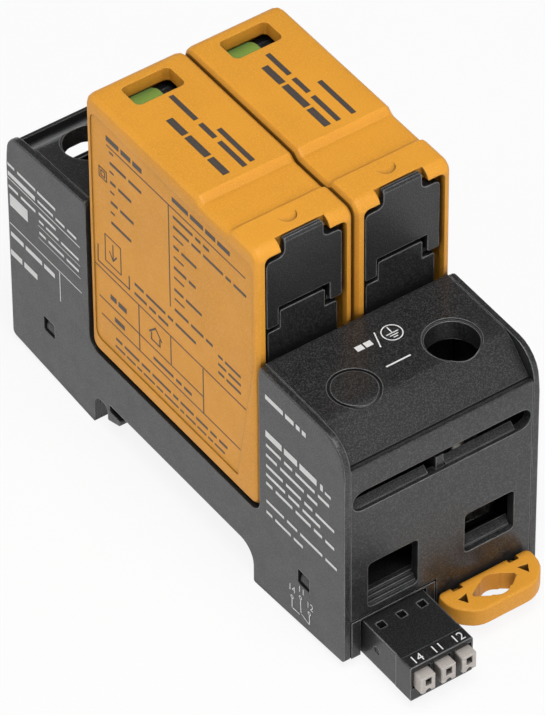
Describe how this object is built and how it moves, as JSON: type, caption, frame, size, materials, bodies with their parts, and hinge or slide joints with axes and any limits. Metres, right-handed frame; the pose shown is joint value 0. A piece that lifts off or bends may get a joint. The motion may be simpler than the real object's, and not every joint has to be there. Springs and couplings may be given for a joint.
{
  "type": "din rail surge arrester",
  "caption": "Rail-mounted surge arrester: moulded base with latched plug-in protection modules, clamp terminals and a plug-in remote signalling connector.",
  "frame": {"origin": "middle of the face that seats on the rail", "axes": "+X across the poles, +Y from the earth end to the line end, +Z away from the rail"},
  "size_m": [0.036, 0.1043, 0.0689],
  "materials": {
    "base_plastic": "fine moulded grain",
    "orange_plastic": "satin moulded",
    "black_plastic": "satin moulded",
    "beige_plastic": "satin moulded",
    "green_flag": "satin moulded",
    "zinc_steel": "bright zinc plate",
    "tinned_copper": "tin plate",
    "varistor_coating": "dipped coating",
    "circuit_board": "solder mask"
  },
  "bodies": {
    "base": {"base_housing": "base_plastic", "side_cover_left": "base_plastic", "side_cover_right": "base_plastic", "busbar_earth": "tinned_copper", "busbar_line_1": "tinned_copper", "busbar_line_2": "tinned_copper", "contact_clip_near_left": "tinned_copper", "contact_clip_near_right": "tinned_copper", "contact_clip_far_left": "tinned_copper", "contact_clip_far_right": "tinned_copper", "signal_header": "black_plastic", "header_pin_1": "tinned_copper", "header_pin_2": "tinned_copper", "header_pin_3": "tinned_copper", "signal_board": "circuit_board", "signal_switch_1": "black_plastic", "signal_switch_2": "black_plastic"},
    "rail_foot": {"rail_foot": "orange_plastic"},
    "signal_plug": {"signal_plug": "black_plastic", "plug_contact_1": "tinned_copper", "plug_contact_2": "tinned_copper", "plug_contact_3": "tinned_copper"},
    "plug_button_1": {"plug_button_1": "beige_plastic"},
    "plug_button_2": {"plug_button_2": "beige_plastic"},
    "plug_button_3": {"plug_button_3": "beige_plastic"},
    "clamp_screw_earth": {"clamp_screw_earth": "zinc_steel"},
    "clamp_cage_earth": {"clamp_cage_earth": "zinc_steel"},
    "clamp_screw_line_1": {"clamp_screw_line_1": "zinc_steel"},
    "clamp_cage_line_1": {"clamp_cage_line_1": "zinc_steel"},
    "clamp_screw_line_2": {"clamp_screw_line_2": "zinc_steel"},
    "clamp_cage_line_2": {"clamp_cage_line_2": "zinc_steel"},
    "module_1": {"module_1_cover": "orange_plastic", "module_1_insert": "black_plastic", "module_1_varistor": "varistor_coating", "module_1_blade_near": "tinned_copper", "module_1_blade_far": "tinned_copper", "module_1_trip_spring": "zinc_steel"},
    "module_1_latch_lever": {"module_1_latch_lever": "black_plastic"},
    "module_1_trip_slider": {"module_1_trip_slider": "green_flag"},
    "module_1_signal_pin": {"module_1_signal_pin": "beige_plastic"},
    "switch_plunger_1": {"switch_plunger_1": "beige_plastic"},
    "module_2": {"module_2_cover": "orange_plastic", "module_2_insert": "black_plastic", "module_2_varistor": "varistor_coating", "module_2_blade_near": "tinned_copper", "module_2_blade_far": "tinned_copper", "module_2_trip_spring": "zinc_steel"},
    "module_2_latch_lever": {"module_2_latch_lever": "black_plastic"},
    "module_2_trip_slider": {"module_2_trip_slider": "green_flag"},
    "module_2_signal_pin": {"module_2_signal_pin": "beige_plastic"},
    "switch_plunger_2": {"switch_plunger_2": "beige_plastic"}
  },
  "joints": [
    {"name": "rail_foot_slide", "type": "slide", "parent": "base", "child": "rail_foot", "axis": [0, -1, 0], "range_m": [0, 0.004], "stiffness_N_per_m": 600, "springref_m": -0.003},
    {"name": "signal_plug_pull", "type": "slide", "parent": "base", "child": "signal_plug", "axis": [0, -1, 0], "range_m": [0, 0.014]},
    {"name": "plug_button_1_press", "type": "slide", "parent": "signal_plug", "child": "plug_button_1", "axis": [0, 1, 0], "range_m": [0, 0.0012], "stiffness_N_per_m": 800, "springref_m": -0.001},
    {"name": "plug_button_2_press", "type": "slide", "parent": "signal_plug", "child": "plug_button_2", "axis": [0, 1, 0], "range_m": [0, 0.0012], "stiffness_N_per_m": 800, "springref_m": -0.001},
    {"name": "plug_button_3_press", "type": "slide", "parent": "signal_plug", "child": "plug_button_3", "axis": [0, 1, 0], "range_m": [0, 0.0012], "stiffness_N_per_m": 800, "springref_m": -0.001},
    {"name": "clamp_screw_earth_turn", "type": "hinge", "parent": "base", "child": "clamp_screw_earth", "pos_m": [0.009, -0.035, 0.0246], "axis": [0, 0, -1], "range_deg": [0, 1800]},
    {"name": "clamp_cage_earth_lift", "type": "slide", "parent": "base", "child": "clamp_cage_earth", "axis": [0, 0, 1], "range_m": [0, 0.004]},
    {"name": "clamp_screw_line_1_turn", "type": "hinge", "parent": "base", "child": "clamp_screw_line_1", "pos_m": [-0.009, 0.035, 0.0246], "axis": [0, 0, -1], "range_deg": [0, 1800]},
    {"name": "clamp_cage_line_1_lift", "type": "slide", "parent": "base", "child": "clamp_cage_line_1", "axis": [0, 0, 1], "range_m": [0, 0.004]},
    {"name": "clamp_screw_line_2_turn", "type": "hinge", "parent": "base", "child": "clamp_screw_line_2", "pos_m": [0.009, 0.035, 0.0246], "axis": [0, 0, -1], "range_deg": [0, 1800]},
    {"name": "clamp_cage_line_2_lift", "type": "slide", "parent": "base", "child": "clamp_cage_line_2", "axis": [0, 0, 1], "range_m": [0, 0.004]},
    {"name": "module_1_lift", "type": "slide", "parent": "base", "child": "module_1", "axis": [0, 0, 1], "range_m": [0, 0.045]},
    {"name": "module_1_latch", "type": "hinge", "parent": "module_1", "child": "module_1_latch_lever", "pos_m": [-0.009, -0.0202, 0.046], "axis": [1, 0, 0], "range_deg": [0, 8], "stiffness_Nm_per_rad": 0.05, "springref_deg": -5.73},
    {"name": "module_1_trip", "type": "slide", "parent": "module_1", "child": "module_1_trip_slider", "axis": [0, -1, 0], "range_m": [0, 0.006]},
    {"name": "module_1_signal", "type": "slide", "parent": "module_1", "child": "module_1_signal_pin", "axis": [0, 0, -1], "range_m": [0, 0.0005]},
    {"name": "switch_1_press", "type": "slide", "parent": "base", "child": "switch_plunger_1", "axis": [0, 0, -1], "range_m": [0, 0.0004], "stiffness_N_per_m": 200, "springref_m": -0.001},
    {"name": "module_2_lift", "type": "slide", "parent": "base", "child": "module_2", "axis": [0, 0, 1], "range_m": [0, 0.045]},
    {"name": "module_2_latch", "type": "hinge", "parent": "module_2", "child": "module_2_latch_lever", "pos_m": [0.009, -0.0202, 0.046], "axis": [1, 0, 0], "range_deg": [0, 8], "stiffness_Nm_per_rad": 0.05, "springref_deg": -5.73},
    {"name": "module_2_trip", "type": "slide", "parent": "module_2", "child": "module_2_trip_slider", "axis": [0, -1, 0], "range_m": [0, 0.006]},
    {"name": "module_2_signal", "type": "slide", "parent": "module_2", "child": "module_2_signal_pin", "axis": [0, 0, -1], "range_m": [0, 0.0005]},
    {"name": "switch_2_press", "type": "slide", "parent": "base", "child": "switch_plunger_2", "axis": [0, 0, -1], "range_m": [0, 0.0004], "stiffness_N_per_m": 200, "springref_m": -0.001}
  ],
  "couplings": [
    {"joint": "clamp_screw_earth_turn", "follows": "clamp_cage_earth_lift", "rad_per_m": 7853.9},
    {"joint": "clamp_screw_line_1_turn", "follows": "clamp_cage_line_1_lift", "rad_per_m": 7853.9},
    {"joint": "clamp_screw_line_2_turn", "follows": "clamp_cage_line_2_lift", "rad_per_m": 7853.9},
    {"joint": "module_1_signal", "follows": "module_1_trip", "ratio": 0.0833},
    {"joint": "module_2_signal", "follows": "module_2_trip", "ratio": 0.0833}
  ]
}
